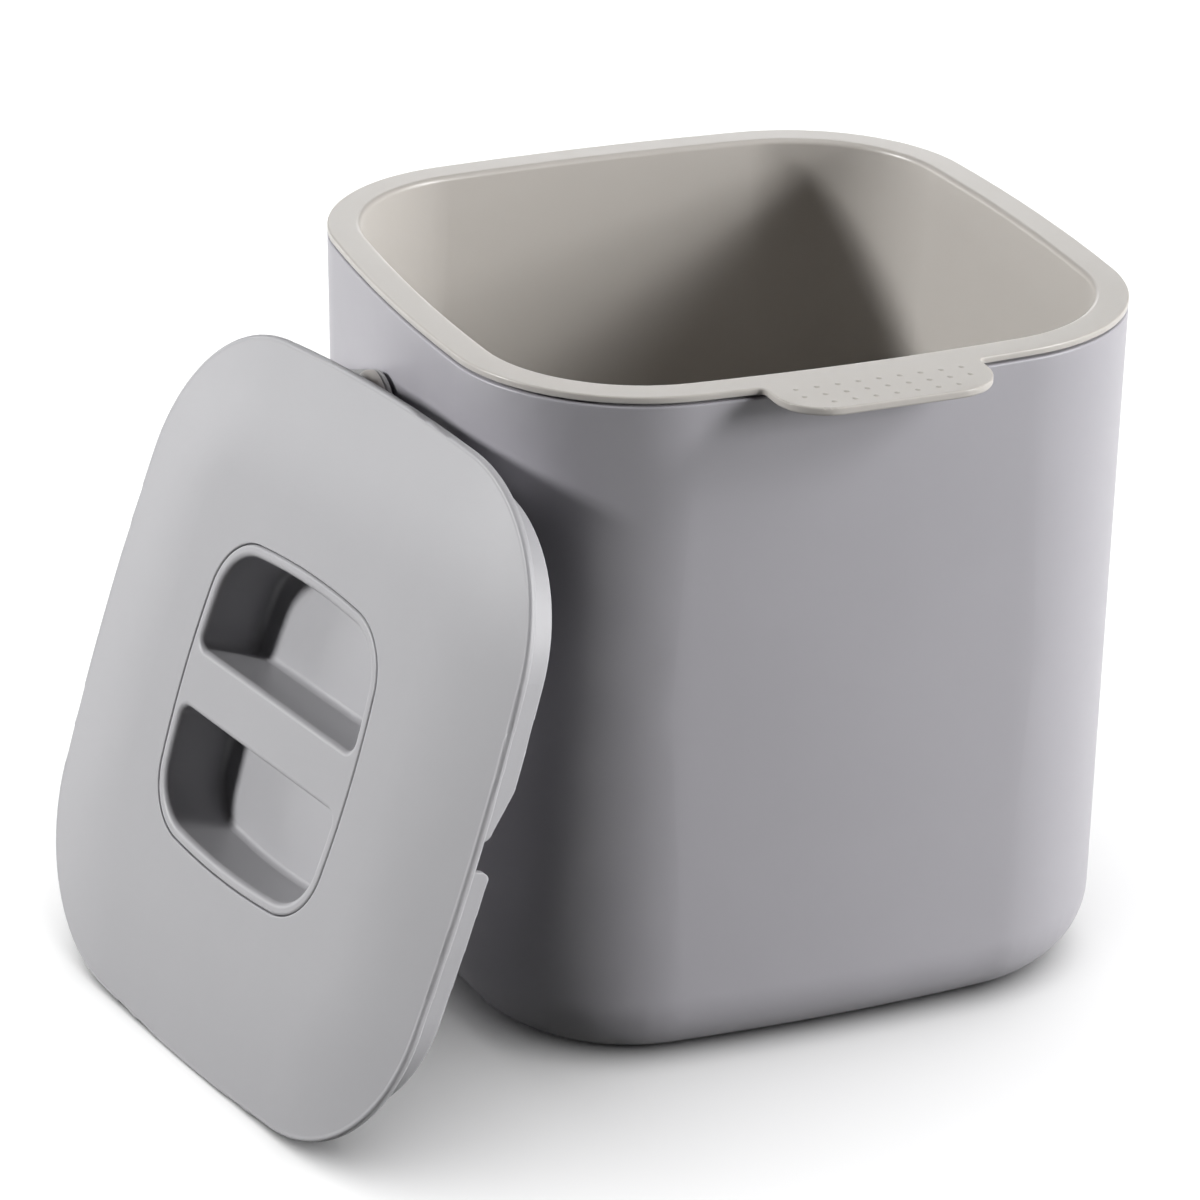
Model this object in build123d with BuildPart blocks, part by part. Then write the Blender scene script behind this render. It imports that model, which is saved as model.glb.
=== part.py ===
from build123d import *
import os
from math import asin, atan, atan2, cos, degrees, pi, radians, sin, sqrt

# Food waste bin: an outer body with a swinging bail, a lift-out bucket that hangs by its flange,
# and a domed lid with a two-pocket grip, which leans on the left wall of the body.
# Millimetres. The origin is the centre of the base, +Z is up, and the grip tab points to -Y.

# Plan outline at the rim: a square with bowed sides and round corners
rim_half = 100.0
side_bulge = 7.8
corner_radius = 53.6
bin_height = 201.8

# Outer body
body_wall = 2.8
body_floor = 2.8
body_draft = 2.0
body_foot_radius = 22.7
body_rim_round = 0.6

# Lift-out bucket
flange_width = 9.6
flange_lip = 1.8
flange_round = 0.5
seam_height = 1.0
seam_depth = 2.2
bucket_wall = 2.0
bucket_floor = 2.2
bucket_draft = 4.0
bucket_foot_radius = 18.0
bucket_floor_gap = 5.0
mouth_round = 1.6

# Grip tab on the bucket's flange
tab_width = 62.0
tab_reach = 19.2
tab_thickness = 2.4
tab_corner = 14.0
tab_root_round = 2.5
tab_under_round = 0.7
dot_width = 1.7
dot_height = 0.3
dot_pitch_across = 6.0
dot_pitch_along = 5.5
dots_in_long_rows = 9
dots_in_front_row = 7
first_row_out = 3.5

# Bail and its pivots
pivot_drop = 30.5
pin_radius = 4.0
pin_clearance = 0.06
bail_strap = 22.4
bail_thickness = 1.8
bail_side_gap = 1.0
bail_corner = 50.0
bail_rest_angle = 20.0
bail_wall_gap = 0.3
bail_edge_round = 0.8
cap_radius = 11.4
cap_thickness = 3.2
cap_gap = 0.2
cap_round = 2.2
barb_radius = 5.0
barb_tip_radius = 3.4
barb_length = 2.4
barb_gap = 0.25
barb_slot = 1.6
barb_slot_depth = 6.0

# Lid shell
lid_inset = 1.1
plate_edge = 2.4
plate_top_round = 1.0
plate_under_round = 0.8
edge_margin = 0.5
dome_rise = 4.2
dome_reach = 37.0
dome_steps = 4
lid_wall = 2.0
skirt_clearance = 0.5
skirt_wall = 2.0
skirt_depth = 12.0
skirt_edge_round = 0.6
notch_width = 8.4
notch_flare = 2.8
ramp_length = 13.0
ramp_rise = 3.6

# Grip insert of the lid
insert_half = 44.8
insert_bulge = 3.9
insert_corner = 19.5
insert_rim = 2.2
insert_seam = 0.3
insert_round = 0.8
seat_round = 0.4
rim_band = 3.4
bar_width = 17.0
pocket_depth = 19.0
pocket_draft_angle = 2.0
pocket_corner = 3.5
pocket_floor_round = 2.0
pocket_edge_round = 1.7
cup_wall = 1.5
cup_clearance = 0.3
ledge_height = 1.8
collar_wall = 1.6
lug_width = 10.0
lug_height = 1.2
lug_overlap = 0.6
lug_gap = 0.2

# How the lid leans on the body
lean_angle = 70.8
lean_shift = 17.9
lean_gap = 0.3

# How far a cut runs past what it cuts, and how closely a point is matched
past = 1.0
match = 0.01

# Sizes that follow from the ones above
body_top = bin_height - flange_lip - seam_height
wall_slope = body_draft / body_top
body_taper = degrees(atan(wall_slope))
bucket_bottom = body_floor + bucket_floor_gap
bucket_taper = degrees(atan(bucket_draft / (bin_height - bucket_bottom)))
bucket_outer_inset = flange_width - bucket_wall
pivot_z = body_top - pivot_drop
pin_hole_radius = pin_radius + pin_clearance
arm_inside = rim_half + bail_side_gap
arm_outside = arm_inside + bail_thickness
cap_inside = arm_outside + cap_gap
cap_outside = cap_inside + cap_thickness
dome_start = plate_top_round + edge_margin
dome_top = plate_edge + dome_rise
skirt_outer_inset = flange_width + skirt_clearance
skirt_inner_inset = skirt_outer_inset + skirt_wall


class BowedSquare(BaseSketchObject):
    """Square with four bowed sides and round corners, each arc tangent to the next.

    half runs from the centre to the middle of a side. bulge is how far that side bows out over
    the whole width. inset draws the same outline parallel to itself, that much further in.
    """

    def __init__(self, half, bulge, corner, inset=0.0, rotation=0, align=None, mode=Mode.ADD):
        side_radius = (half**2 + bulge**2) / (2 * bulge)
        side_centre = side_radius - half
        between_centres = side_radius - corner
        centre = corner_centre(half, bulge, corner)
        join_out = (side_radius - inset) * (centre + side_centre) / between_centres - side_centre
        join_along = (side_radius - inset) * centre / between_centres
        diagonal = centre + (corner - inset) / sqrt(2)
        with BuildSketch() as outline:
            with BuildLine():
                for quarter in range(4):
                    turn = 90 * quarter
                    start = Vector(join_out, -join_along).rotate(Axis.Z, turn)
                    middle = Vector(half - inset, 0).rotate(Axis.Z, turn)
                    end = Vector(join_out, join_along).rotate(Axis.Z, turn)
                    corner_middle = Vector(diagonal, diagonal).rotate(Axis.Z, turn)
                    next_start = Vector(join_along, join_out).rotate(Axis.Z, turn)
                    ThreePointArc(start, middle, end)
                    ThreePointArc(end, corner_middle, next_start)
            make_face()
        super().__init__(outline.sketch, rotation, align, mode)


def corner_centre(half, bulge, corner):
    """How far the corner arc's centre lies from both middle lines, so that it meets the sides."""
    side_radius = (half**2 + bulge**2) / (2 * bulge)
    side_centre = side_radius - half
    return (sqrt(2 * (side_radius - corner) ** 2 - side_centre**2) - side_centre) / 2


def bin_outline(inset=0.0, mode=Mode.ADD):
    """The bin's plan outline, that far inside the rim."""
    return BowedSquare(rim_half, side_bulge, corner_radius, inset=inset, mode=mode)


def insert_outline(inset=0.0, mode=Mode.ADD):
    """The grip insert's plan outline, that far inside its edge."""
    return BowedSquare(insert_half, insert_bulge, insert_corner, inset=inset, mode=mode)


def cup_form(top, bottom, inset, taper, foot_radius):
    """A solid with the bin's outline that draws in towards its base and is round at the foot."""
    with BuildPart() as form:
        with BuildSketch(Plane.XY.offset(top)):
            bin_outline(inset=inset)
        extrude(amount=bottom - top, taper=taper)
        fillet(form.faces().sort_by(Axis.Z)[0].edges(), radius=foot_radius)
    return form.part


def write(part, name):
    """Label a finished piece and write it to its own file."""
    part.label = name
    export_step(part, f"parts/{name}.step")


os.makedirs("parts", exist_ok=True)

# Outer body: a tapered cup with a large foot radius and a hole for each pivot pin
body_form = cup_form(body_top, 0, 0, body_taper, body_foot_radius)
body_cavity = cup_form(
    body_top, body_floor, body_wall, body_taper, body_foot_radius - body_wall
)
with BuildPart() as outer_body:
    add(body_form)
    fillet(outer_body.faces().sort_by(Axis.Z)[-1].edges(), radius=body_rim_round)
    add(body_cavity, mode=Mode.SUBTRACT)
    with BuildSketch(Plane.YZ):
        with Locations((0, pivot_z)):
            Circle(pin_hole_radius)
    extrude(amount=rim_half, both=True, mode=Mode.SUBTRACT)
write(outer_body.part, "outer_body")

# Flange of the bucket with its grip tab, whose outer corners and roots are round
tab_side = tab_width / 2
tab_front = rim_half + tab_reach
tab_back = rim_half - flange_width / 2


def tab_outline():
    """The grip tab's plan outline, which reaches back into the flange."""
    with BuildLine() as outline:
        FilletPolyline(
            (-tab_side, -tab_back),
            (-tab_side, -tab_front),
            (tab_side, -tab_front),
            (tab_side, -tab_back),
            radius=tab_corner,
        )
        Line((tab_side, -tab_back), (-tab_side, -tab_back))
    return outline.line


with BuildPart() as flange:
    with BuildSketch(Plane.XY.offset(bin_height)) as flange_plan:
        bin_outline()
        make_face(tab_outline())
        on_side = flange_plan.vertices().filter_by(lambda v: abs(abs(v.X) - tab_side) < match)
        fillet(on_side.filter_by(lambda v: v.Y > -rim_half), radius=tab_root_round)
    extrude(amount=-flange_lip)
    fillet(flange.faces().sort_by(Axis.Z)[-1].edges(), radius=flange_round)
with BuildPart() as tab_pad:
    with BuildSketch(Plane.XY.offset(bin_height - flange_round)):
        make_face(tab_outline())
    extrude(amount=flange_round - tab_thickness)
    fillet(tab_pad.faces().sort_by(Axis.Z)[0].edges(), radius=tab_under_round)

# Bucket: a tapered cup that hangs by its flange, with a step that rests on the body's rim
dot_sphere = ((dot_width / 2) ** 2 + dot_height**2) / (2 * dot_height)
bucket_form = cup_form(
    bin_height, bucket_bottom, bucket_outer_inset, bucket_taper, bucket_foot_radius
)
bucket_cavity = cup_form(
    bin_height,
    bucket_bottom + bucket_floor,
    flange_width,
    bucket_taper,
    bucket_foot_radius - bucket_wall,
)
with BuildPart() as inner_bucket:
    add(bucket_form)
    with BuildSketch(Plane.XY.offset(bin_height - flange_lip)):
        bin_outline(inset=seam_depth)
    extrude(amount=-seam_height)
    add(flange.part)
    add(tab_pad.part)
    add(bucket_cavity, mode=Mode.SUBTRACT)
    mouth = inner_bucket.faces().filter_by(Plane.XY).sort_by(Axis.Z)[-1].inner_wires()[0]
    fillet(mouth.edges(), radius=mouth_round)
    # raised grip dots, each the cap of a small sphere
    dot_z = bin_height + dot_height - dot_sphere
    for row, count in enumerate((dots_in_long_rows, dots_in_long_rows, dots_in_front_row)):
        row_y = -rim_half - first_row_out - row * dot_pitch_along
        with Locations((0, row_y, dot_z)):
            with GridLocations(dot_pitch_across, dot_pitch_along, count, 1):
                Sphere(dot_sphere)
write(inner_bucket.part, "inner_bucket")

# Bail: a flat strap bent into a U, whose crossbar rests against the back wall
rest_angle = radians(bail_rest_angle)
bail_plane = Plane(
    origin=(0, 0, pivot_z), x_dir=(1, 0, 0), z_dir=(0, sin(rest_angle), cos(rest_angle))
)
bail_reach = (
    rim_half
    - body_draft
    + wall_slope * (pivot_z - bail_strap / 2 * cos(rest_angle))
    + bail_wall_gap
    + bail_strap / 2 * sin(rest_angle)
) / (cos(rest_angle) + wall_slope * sin(rest_angle))
strap_middle = arm_inside + bail_thickness / 2
bar_middle = bail_reach + bail_thickness / 2
with BuildPart() as bail_handle:
    with BuildSketch(bail_plane):
        with BuildLine():
            FilletPolyline(
                (-strap_middle, 0),
                (-strap_middle, bar_middle),
                (strap_middle, bar_middle),
                (strap_middle, 0),
                radius=bail_corner,
            )
        trace(line_width=bail_thickness)
    extrude(amount=bail_strap / 2, both=True)
    for eye_face in (arm_inside, -arm_outside):
        with BuildSketch(Plane.YZ.offset(eye_face)):
            with Locations((0, pivot_z)):
                Circle(bail_strap / 2)
        extrude(amount=bail_thickness)
    fillet(bail_handle.edges(), radius=bail_edge_round)
    with BuildSketch(Plane.YZ):
        with Locations((0, pivot_z)):
            Circle(pin_hole_radius)
    extrude(amount=arm_outside, both=True, mode=Mode.SUBTRACT)
write(bail_handle.part, "bail_handle")

# Pivot pins: a broad cap outside the bail's eye, and a split barb that snaps in behind the wall
barb_back = rim_half - wall_slope * pivot_drop - body_wall - barb_gap
barb_tip = barb_back - barb_length


def pivot_pin(side):
    """The pin on one side of the body, -1 for the left and 1 for the right."""
    with BuildPart() as pin:
        with BuildSketch(Plane(origin=(0, 0, pivot_z), x_dir=(side, 0, 0), z_dir=(0, -side, 0))):
            with BuildLine():
                Polyline(
                    (barb_tip, 0),
                    (barb_tip, barb_tip_radius),
                    (barb_back, barb_radius),
                    (barb_back, pin_radius),
                    (cap_inside, pin_radius),
                    (cap_inside, cap_radius),
                    (cap_outside, cap_radius),
                    (cap_outside, 0),
                    close=True,
                )
            make_face()
        revolve(axis=Axis((0, 0, pivot_z), (1, 0, 0)))
        cap_edges = pin.edges().filter_by(GeomType.CIRCLE).group_by(Axis.X)
        fillet(cap_edges[-1 if side > 0 else 0], radius=cap_round)
        with BuildSketch(Plane(origin=(side * barb_tip, 0, pivot_z), z_dir=(side, 0, 0))):
            Rectangle(2 * barb_radius + past, barb_slot)
        extrude(amount=barb_slot_depth, mode=Mode.SUBTRACT)
    return pin.part


write(pivot_pin(-1), "left_pivot_pin")
write(pivot_pin(1), "right_pivot_pin")

# Where the lid leans: its lower edge is on the floor, and the upper end of its skirt lies along a
# line that clears two rounds, the front edge of the left pivot cap and the front left corner of
# the body at that height
lean = radians(lean_angle)
skirt_half = rim_half - skirt_outer_inset
lid_half = rim_half - lid_inset
lid_height = (lid_half - plate_under_round) * sin(lean) + plate_under_round * (1 - cos(lean))
skirt_top = lid_height + skirt_half * sin(lean) - skirt_depth * cos(lean)
cap_centre = Vector(-cap_outside + cap_round, -cap_radius + cap_round, 0)
body_corner = corner_radius - wall_slope * (body_top - skirt_top)
centre = corner_centre(rim_half, side_bulge, corner_radius)
from_corner = cap_centre - Vector(-centre, -centre, 0)
lid_yaw = (
    atan2(from_corner.Y, from_corner.X)
    - asin((body_corner - cap_round) / from_corner.length)
    - pi / 2
)
to_wall = Vector(cos(lid_yaw), sin(lid_yaw), 0)
along_wall = Vector(-sin(lid_yaw), cos(lid_yaw), 0)
up_slope = to_wall * cos(lean) + Vector(0, 0, sin(lean))
skirt_to_wall = (
    (skirt_half - skirt_edge_round) * cos(lean)
    + (skirt_depth - skirt_edge_round) * sin(lean)
    + skirt_edge_round
)
lid_origin = (
    to_wall * (cap_centre.dot(to_wall) - cap_round - lean_gap - skirt_to_wall)
    + along_wall * (cap_centre.dot(along_wall) - lean_shift)
    + Vector(0, 0, lid_height)
)
lid_plane = Plane(origin=lid_origin, x_dir=up_slope, z_dir=up_slope.cross(along_wall))
lid_axis = Axis(lid_origin, lid_plane.z_dir)


def dome_height(inset):
    """Height of the lid's top above its underside, that far inside the plate's edge."""
    return plate_edge + dome_rise * sin(pi / 2 * (inset - dome_start) / dome_reach)


# Lid shell: a thin domed plate with a plug skirt under it and a seat for the grip insert
dome_insets = [dome_start + dome_reach * step / dome_steps for step in range(dome_steps + 1)]
hollow_start = skirt_inner_inset - lid_inset
hollow_reach = dome_start + dome_reach - hollow_start
hollow_insets = [hollow_start + hollow_reach * step / dome_steps for step in range(dome_steps + 1)]
insert_seat = dome_top - insert_rim
ledge_bottom = insert_seat - ledge_height
cup_inset = rim_band - cup_wall
with BuildPart() as lid_shell:
    with BuildSketch(lid_plane):
        bin_outline(inset=lid_inset)
    extrude(amount=plate_edge)
    fillet(lid_shell.faces().sort_by(lid_axis)[-1].edges(), radius=plate_top_round)
    fillet(lid_shell.faces().sort_by(lid_axis)[0].edges(), radius=plate_under_round)
    for inset in dome_insets:
        with BuildSketch(lid_plane.offset(dome_height(inset))):
            bin_outline(inset=lid_inset + inset)
    loft()
    with BuildSketch(lid_plane):
        bin_outline(inset=skirt_outer_inset)
    extrude(amount=-skirt_depth)
    fillet(lid_shell.faces().sort_by(lid_axis)[0].edges(), radius=skirt_edge_round)
    # the hollow under the plate keeps the wall even
    with BuildSketch(lid_plane.offset(-skirt_depth)):
        bin_outline(inset=skirt_inner_inset)
    extrude(amount=skirt_depth + dome_height(hollow_start) - lid_wall, mode=Mode.SUBTRACT)
    for inset in hollow_insets:
        with BuildSketch(lid_plane.offset(dome_height(inset) - lid_wall)):
            bin_outline(inset=lid_inset + inset)
    loft(mode=Mode.SUBTRACT)
    # collar and ledge that carry the insert, joined to the dome half way through its wall
    with BuildSketch(lid_plane.offset(ledge_bottom)):
        insert_outline(inset=-insert_seam - collar_wall)
    extrude(amount=dome_top - lid_wall / 2 - ledge_bottom)
    with BuildSketch(lid_plane.offset(insert_seat)):
        insert_outline(inset=-insert_seam)
    extrude(amount=insert_rim, mode=Mode.SUBTRACT)
    seat_edge = lid_shell.faces().sort_by(lid_axis)[-1].inner_wires()[0]
    fillet(seat_edge.edges(), radius=seat_round)
    with BuildSketch(lid_plane.offset(ledge_bottom)):
        insert_outline(inset=cup_inset - cup_clearance)
    extrude(amount=ledge_height, mode=Mode.SUBTRACT)
    # a notch in the middle of the skirt on both sides, flared at its mouth and ramped above it
    with BuildSketch(Plane(origin=lid_origin, x_dir=lid_plane.x_dir, z_dir=lid_plane.y_dir)):
        with BuildLine():
            notch_side = notch_width / 2
            notch_mouth = notch_side + notch_flare
            past_skirt = skirt_depth + past
            ramp_start = skirt_depth - ramp_rise
            ramp_end = notch_mouth + ramp_length
            Polyline(
                (-notch_side, skirt_depth - notch_flare),
                (-notch_side, 0),
                (notch_side, 0),
                (notch_side, ramp_start - notch_flare),
            )
            RadiusArc((notch_side, ramp_start - notch_flare), (notch_mouth, ramp_start), notch_flare)
            Polyline(
                (notch_mouth, ramp_start),
                (ramp_end, skirt_depth),
                (ramp_end, past_skirt),
                (-notch_mouth, past_skirt),
                (-notch_mouth, skirt_depth),
            )
            RadiusArc((-notch_mouth, skirt_depth), (-notch_side, skirt_depth - notch_flare), notch_flare)
        make_face()
    extrude(amount=rim_half, both=True, mode=Mode.SUBTRACT)
write(lid_shell.part, "lid_shell")


def pockets_outline(inset):
    """Plan of the two finger pockets with the grip bar between them."""
    bar_side = bar_width / 2 + inset
    with BuildSketch() as outline:
        insert_outline(inset=rim_band + inset)
        Rectangle(2 * bar_side, 2 * insert_half, mode=Mode.SUBTRACT)
        by_bar = outline.vertices().filter_by(lambda v: abs(abs(v.X) - bar_side) < match)
        fillet(by_bar, radius=pocket_corner - inset)
    return outline.sketch


def pocket_form(inset, top, depth):
    """The two pockets as solids that draw in towards their round-edged floor."""
    with BuildPart() as form:
        with BuildSketch(lid_plane.offset(top)):
            add(pockets_outline(inset))
        extrude(amount=-depth, taper=pocket_draft_angle)
        floors = form.faces().sort_by(lid_axis)[:2]
        fillet(floors.edges(), radius=pocket_floor_round - inset)
    return form.part


# Grip insert: a flush rim and bar, with a cup under each side of the bar for the fingers
cups = pocket_form(-cup_wall, insert_seat, pocket_depth + cup_wall - insert_rim)
pockets = pocket_form(0, dome_top, pocket_depth)
with BuildPart() as lid_handle_insert:
    with BuildSketch(lid_plane.offset(insert_seat)):
        insert_outline()
    extrude(amount=insert_rim)
    fillet(lid_handle_insert.faces().sort_by(lid_axis)[-1].edges(), radius=insert_round)
    add(cups)
    # snap lugs under the shell's ledge, rooted in the cup's wall
    lug_top = ledge_bottom - lug_gap
    lug_reach = insert_half - cup_inset + cup_clearance + lug_overlap
    lug_root = 2 * cup_wall
    between_lugs = (bar_width + insert_half) / 2
    with BuildSketch(lid_plane.offset(lug_top)):
        with GridLocations(between_lugs, 2 * lug_reach - lug_root, 2, 2):
            Rectangle(lug_width, lug_root)
    extrude(amount=-lug_height)
    add(pockets, mode=Mode.SUBTRACT)
    pocket_rims = lid_handle_insert.faces().sort_by(lid_axis)[-1].inner_wires()
    fillet([edge for rim in pocket_rims for edge in rim.edges()], radius=pocket_edge_round)
write(lid_handle_insert.part, "lid_handle_insert")
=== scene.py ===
from math import cos, pi, radians, sin

import bpy
from mathutils import Matrix, Vector

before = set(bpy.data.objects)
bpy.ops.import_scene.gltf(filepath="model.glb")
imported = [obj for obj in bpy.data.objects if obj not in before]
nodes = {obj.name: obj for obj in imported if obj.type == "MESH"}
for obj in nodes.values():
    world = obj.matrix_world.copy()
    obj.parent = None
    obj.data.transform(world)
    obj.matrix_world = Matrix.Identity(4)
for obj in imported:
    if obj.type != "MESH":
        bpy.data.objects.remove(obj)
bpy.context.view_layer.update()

MM = 0.001

# Camera of the photograph: the point it looks at, its azimuth, elevation and roll in degrees, its
# distance and clipping in metres, and its lens and sensor in millimetres
LOOK_AT = Vector((-0.01842, 0.0405, 0.08139))
AZIMUTH = -22.62
ELEVATION = 23.81
ROLL = 0.87
DISTANCE = 1.40958
CLIP_START = 0.05
CLIP_END = 20
FOCAL_LENGTH = 142.43
SENSOR = 36.0

# The soft boxes stand on a sphere round the middle of the object, in metres
LIGHT_TARGET = Vector((-0.03, 0, 0.1))
LIGHT_DISTANCE = 3.0

# The floor, from its middle to its edge in metres, and the soft light that falls on it alone
FLOOR_HALF = 6
FLOOR_COLOR = (0.9, 0.9, 0.9)
FLOOR_BRIGHTNESS = 1.3
FLOOR_LIGHT_SPREAD = radians(120)

# Colours of the plastics, linear, and how far each plastic's tone changes to either side
BODY_COLOR = (0.40, 0.39, 0.42)
BUCKET_COLOR = (0.515, 0.49, 0.46)
BAIL_COLOR = (0.42, 0.42, 0.415)
LID_COLOR = (0.415, 0.412, 0.427)
TONE_CHANGE = 0.012

# Noise in the plastics: clouds of tone, streaks of gloss, and a fine grain
CLOUD_SIZE = 35 * MM
CLOUD_DETAIL = 3
STREAK_SIZE = 9 * MM
STREAK_DETAIL = 5
GRAIN_DETAIL = 3
CELL_SMOOTHNESS = 0.6

# Nearly all of a noise's values lie between these two
NOISE_LOW = 0.3
NOISE_HIGH = 0.7

# Light enters the plastics a little way and comes out beside, which softens narrow seams
SCATTER = 1.0
SCATTER_DEPTH = 1.6 * MM

# Faces that meet at less than this angle shade as one smooth surface
SMOOTH_ANGLE = radians(28)
WELD_DISTANCE = 0.002 * MM


def direction(azimuth, elevation):
    """The unit vector towards an azimuth, 0 at the front and positive to the right, and an elevation."""
    azimuth = radians(azimuth)
    elevation = radians(elevation)
    return Vector((sin(azimuth) * cos(elevation), -cos(azimuth) * cos(elevation), sin(elevation)))


def make_camera():
    """The camera at the photograph's viewing angle."""
    roll = radians(ROLL)
    back = direction(AZIMUTH, ELEVATION)
    level = (-back).cross(Vector((0, 0, 1))).normalized()
    upright = level.cross(-back)
    right = level * cos(roll) + upright * sin(roll)
    up = -level * sin(roll) + upright * cos(roll)
    turn = Matrix((right, up, back)).transposed().to_4x4()
    data = bpy.data.cameras.new("camera")
    data.sensor_width = SENSOR
    data.sensor_fit = "HORIZONTAL"
    data.lens = FOCAL_LENGTH
    data.clip_start = CLIP_START
    data.clip_end = CLIP_END
    camera = bpy.data.objects.new("camera", data)
    camera.matrix_world = Matrix.Translation(LOOK_AT + back * DISTANCE) @ turn
    bpy.context.scene.collection.objects.link(camera)
    bpy.context.scene.camera = camera


def make_world():
    """A white surround that the camera sees, and that gives the object no light."""
    world = bpy.data.worlds.new("surround")
    world.use_nodes = True
    tree = world.node_tree
    background = tree.nodes["Background"]
    background.inputs["Color"].default_value = (1, 1, 1, 1)
    path = tree.nodes.new("ShaderNodeLightPath")
    tree.links.new(path.outputs["Is Camera Ray"], background.inputs["Strength"])
    bpy.context.scene.world = world


def make_floor():
    """A plain pale floor, which the object's gloss mirrors but which gives it no other light."""
    data = bpy.data.meshes.new("floor")
    corners = [(x * FLOOR_HALF, y * FLOOR_HALF, 0) for x, y in ((-1, -1), (1, -1), (1, 1), (-1, 1))]
    data.from_pydata(corners, [], [(0, 1, 2, 3)])
    material = bpy.data.materials.new("floor_paint")
    material.use_nodes = True
    shader = material.node_tree.nodes["Principled BSDF"]
    shader.inputs["Base Color"].default_value = (*FLOOR_COLOR, 1)
    shader.inputs["Roughness"].default_value = 1
    shader.inputs["Specular IOR Level"].default_value = 0
    data.materials.append(material)
    floor = bpy.data.objects.new("floor", data)
    floor.visible_diffuse = False
    bpy.context.scene.collection.objects.link(floor)
    return floor


def receivers(name, floor, state):
    """A list of what a light falls on: the floor alone, or everything except the floor."""
    listed = bpy.data.collections.new(name)
    listed.objects.link(floor)
    listed.collection_objects[0].light_linking.link_state = state
    return listed


def floor_light(falls_on):
    """Very soft light from above, for the floor alone, so that it is even and evenly white."""
    data = bpy.data.lights.new("floor_light", "SUN")
    data.energy = FLOOR_BRIGHTNESS * pi / FLOOR_COLOR[0]
    data.angle = FLOOR_LIGHT_SPREAD
    light = bpy.data.objects.new("floor_light", data)
    light.light_linking.receiver_collection = falls_on
    bpy.context.scene.collection.objects.link(light)


def soft_box(name, falls_on, azimuth, elevation, size, power):
    """A square soft box that faces the object: its side is in metres and its power in watts."""
    data = bpy.data.lights.new(name, "AREA")
    data.shape = "SQUARE"
    data.size = size
    data.energy = power
    light = bpy.data.objects.new(name, data)
    out = direction(azimuth, elevation)
    turn = out.to_track_quat("Z", "Y").to_matrix().to_4x4()
    light.matrix_world = Matrix.Translation(LIGHT_TARGET + out * LIGHT_DISTANCE) @ turn
    light.visible_camera = False
    light.light_linking.receiver_collection = falls_on
    bpy.context.scene.collection.objects.link(light)


def noise(tree, coords, feature, detail):
    """Noise whose features are about as large as given, in metres."""
    node = tree.nodes.new("ShaderNodeTexNoise")
    node.inputs["Scale"].default_value = 1 / feature
    node.inputs["Detail"].default_value = detail
    tree.links.new(coords, node.inputs["Vector"])
    return node.outputs["Fac"]


def remap(tree, value, low, high):
    """Spread the middle of a noise's range from low to high."""
    node = tree.nodes.new("ShaderNodeMapRange")
    node.inputs["From Min"].default_value = NOISE_LOW
    node.inputs["From Max"].default_value = NOISE_HIGH
    node.inputs["To Min"].default_value = low
    node.inputs["To Max"].default_value = high
    tree.links.new(value, node.inputs["Value"])
    return node.outputs["Result"]


def bump(tree, height, depth, below=None):
    """Raise the surface by a height map, over the bumps below it."""
    node = tree.nodes.new("ShaderNodeBump")
    node.inputs["Strength"].default_value = 1
    node.inputs["Distance"].default_value = depth
    tree.links.new(height, node.inputs["Height"])
    if below is not None:
        tree.links.new(below, node.inputs["Normal"])
    return node.outputs["Normal"]


def moulded_plastic(name, color, roughness, spread, grain, grain_depth, cells=None):
    """A moulded plastic with a fine grain, and slow changes of tone and of gloss.

    spread is how far the roughness goes to either side, and grain and grain_depth are the grain's size
    and height. cells gives the size of leathery cells, if it has them.
    """
    material = bpy.data.materials.new(name)
    material.use_nodes = True
    tree = material.node_tree
    shader = tree.nodes["Principled BSDF"]
    coords = tree.nodes.new("ShaderNodeTexCoord").outputs["Object"]

    mix = tree.nodes.new("ShaderNodeMix")
    mix.data_type = "RGBA"
    mix.inputs["A"].default_value = (*(channel * (1 - TONE_CHANGE) for channel in color), 1)
    mix.inputs["B"].default_value = (*(channel * (1 + TONE_CHANGE) for channel in color), 1)
    clouds = remap(tree, noise(tree, coords, CLOUD_SIZE, CLOUD_DETAIL), 0, 1)
    tree.links.new(clouds, mix.inputs["Factor"])
    tree.links.new(mix.outputs["Result"], shader.inputs["Base Color"])

    shader.inputs["Subsurface Weight"].default_value = SCATTER
    shader.inputs["Subsurface Radius"].default_value = (1, 1, 1)
    shader.inputs["Subsurface Scale"].default_value = SCATTER_DEPTH

    streaks = noise(tree, coords, STREAK_SIZE, STREAK_DETAIL)
    gloss = remap(tree, streaks, roughness - spread, roughness + spread)
    tree.links.new(gloss, shader.inputs["Roughness"])

    relief = bump(tree, noise(tree, coords, grain, GRAIN_DETAIL), grain_depth)
    if cells is not None:
        leather = tree.nodes.new("ShaderNodeTexVoronoi")
        leather.feature = "SMOOTH_F1"
        leather.inputs["Scale"].default_value = 1 / cells
        leather.inputs["Smoothness"].default_value = CELL_SMOOTHNESS
        tree.links.new(coords, leather.inputs["Vector"])
        relief = bump(tree, leather.outputs["Distance"], grain_depth, relief)
    tree.links.new(relief, shader.inputs["Normal"])
    return material


def cover(material, *names):
    """Give CAD nodes one material."""
    for name in names:
        slots = nodes[name].data.materials
        slots.clear()
        slots.append(material)


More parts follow.
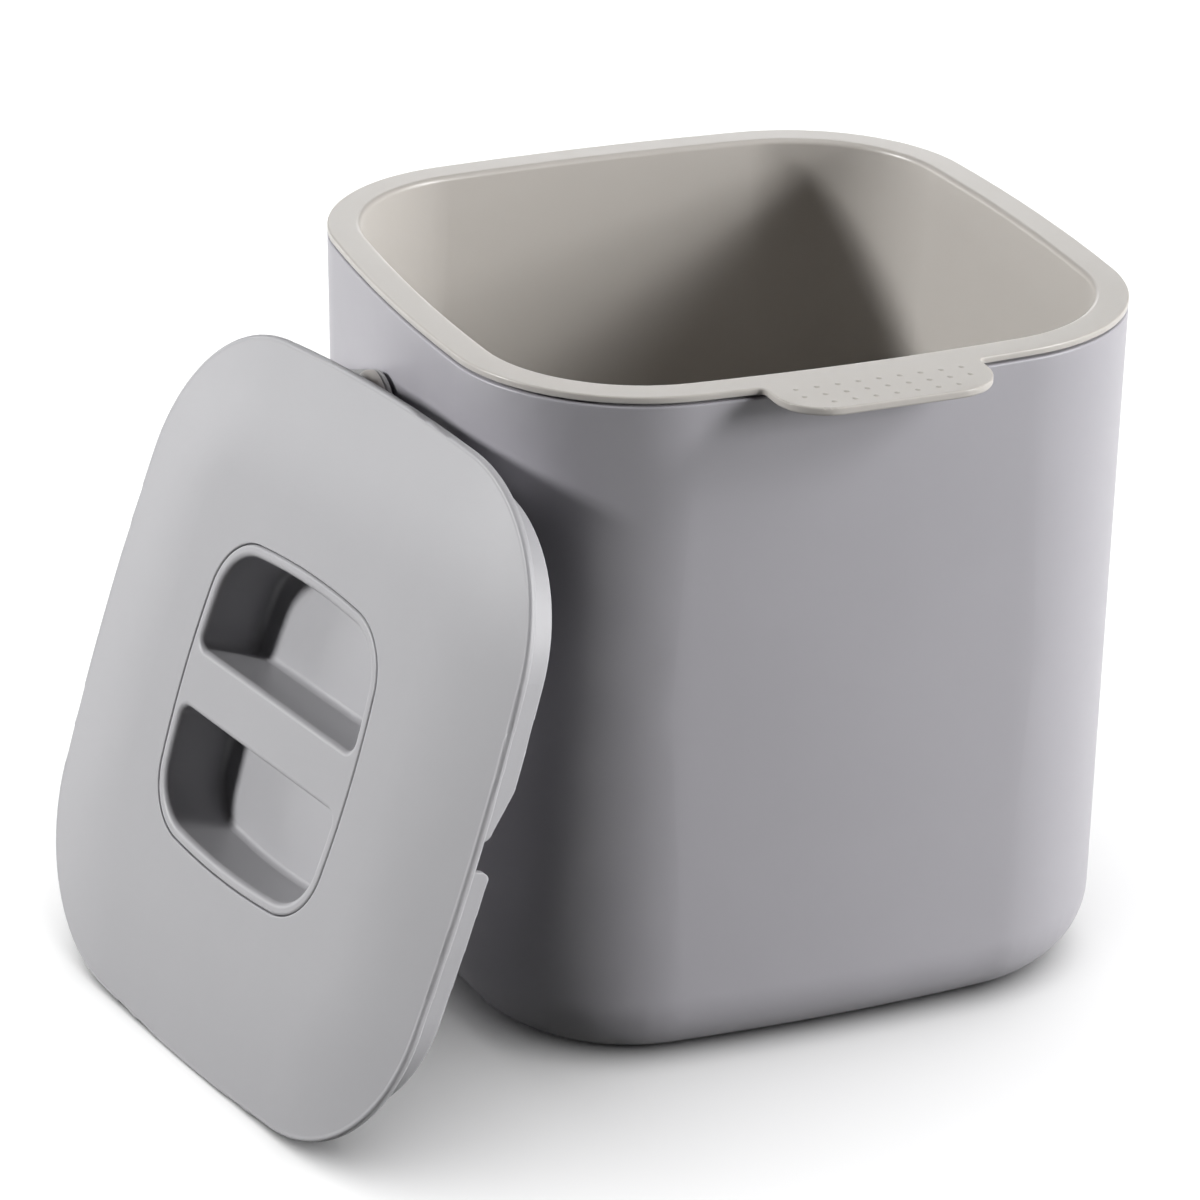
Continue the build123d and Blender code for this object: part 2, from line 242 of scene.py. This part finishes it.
def make_smoothing():
    """Joins the faces' edges, and shades across each one unless it is a true corner."""
    tree = bpy.data.node_groups.new("smooth_joins", "GeometryNodeTree")
    tree.interface.new_socket("Geometry", in_out="INPUT", socket_type="NodeSocketGeometry")
    tree.interface.new_socket("Geometry", in_out="OUTPUT", socket_type="NodeSocketGeometry")
    start = tree.nodes.new("NodeGroupInput")
    end = tree.nodes.new("NodeGroupOutput")
    weld = tree.nodes.new("GeometryNodeMergeByDistance")
    weld.inputs["Distance"].default_value = WELD_DISTANCE
    clear = tree.nodes.new("GeometryNodeRemoveAttribute")
    clear.inputs["Name"].default_value = "custom_normal"
    smooth = tree.nodes.new("GeometryNodeSetShadeSmooth")
    smooth.domain = "FACE"
    angle = tree.nodes.new("GeometryNodeInputMeshEdgeAngle")
    corner = tree.nodes.new("FunctionNodeCompare")
    corner.data_type = "FLOAT"
    corner.operation = "GREATER_THAN"
    corner.inputs["B"].default_value = SMOOTH_ANGLE
    tree.links.new(angle.outputs["Unsigned Angle"], corner.inputs["A"])
    sharpen = tree.nodes.new("GeometryNodeSetShadeSmooth")
    sharpen.domain = "EDGE"
    sharpen.inputs["Shade Smooth"].default_value = False
    tree.links.new(corner.outputs["Result"], sharpen.inputs["Selection"])
    chain = [start, weld, clear, smooth, sharpen, end]
    for one, following in zip(chain, chain[1:]):
        tree.links.new(one.outputs["Geometry"], following.inputs["Geometry"])
    return tree


def mend_shading(*names):
    """Shade CAD nodes evenly across the seams between their faces, with their shape as it is."""
    smoothing = make_smoothing()
    for name in names:
        modifiers = nodes[name].modifiers
        modifiers.new("smooth_joins", "NODES").node_group = smoothing
        modifiers.new("large_faces_lead", "WEIGHTED_NORMAL").keep_sharp = True


body_plastic = moulded_plastic(
    "body_plastic", BODY_COLOR, roughness=0.42, spread=0.015, grain=0.5 * MM, grain_depth=0.01 * MM
)
bucket_plastic = moulded_plastic(
    "bucket_plastic", BUCKET_COLOR, roughness=0.34, spread=0.015, grain=0.6 * MM, grain_depth=0.005 * MM
)
bail_plastic = moulded_plastic(
    "bail_plastic", BAIL_COLOR, roughness=0.4, spread=0.015, grain=0.5 * MM, grain_depth=0.008 * MM
)
lid_plastic = moulded_plastic(
    "lid_plastic", LID_COLOR, roughness=0.46, spread=0.01, grain=0.45 * MM, grain_depth=0.007 * MM,
    cells=0.8 * MM,
)
cover(body_plastic, "outer_body")
cover(bucket_plastic, "inner_bucket", "left_pivot_pin", "right_pivot_pin")
cover(bail_plastic, "bail_handle")
cover(lid_plastic, "lid_shell", "lid_handle_insert")
mend_shading("outer_body", "inner_bucket")

make_camera()
make_world()
floor = make_floor()
floor_light(receivers("floor_alone", floor, "INCLUDE"))
all_but_floor = receivers("all_but_floor", floor, "EXCLUDE")
soft_box("left_box", all_but_floor, azimuth=-108, elevation=26, size=0.4, power=90)
soft_box("left_low_box", all_but_floor, azimuth=-140, elevation=6, size=0.5, power=12)
soft_box("right_low_box", all_but_floor, azimuth=45, elevation=6, size=0.8, power=24)
soft_box("right_box", all_but_floor, azimuth=45, elevation=18, size=0.8, power=56)
soft_box("right_high_box", all_but_floor, azimuth=60, elevation=32, size=0.8, power=47)
soft_box("back_box", all_but_floor, azimuth=157, elevation=12, size=1.2, power=13)
bpy.context.scene.view_settings.view_transform = "Standard"
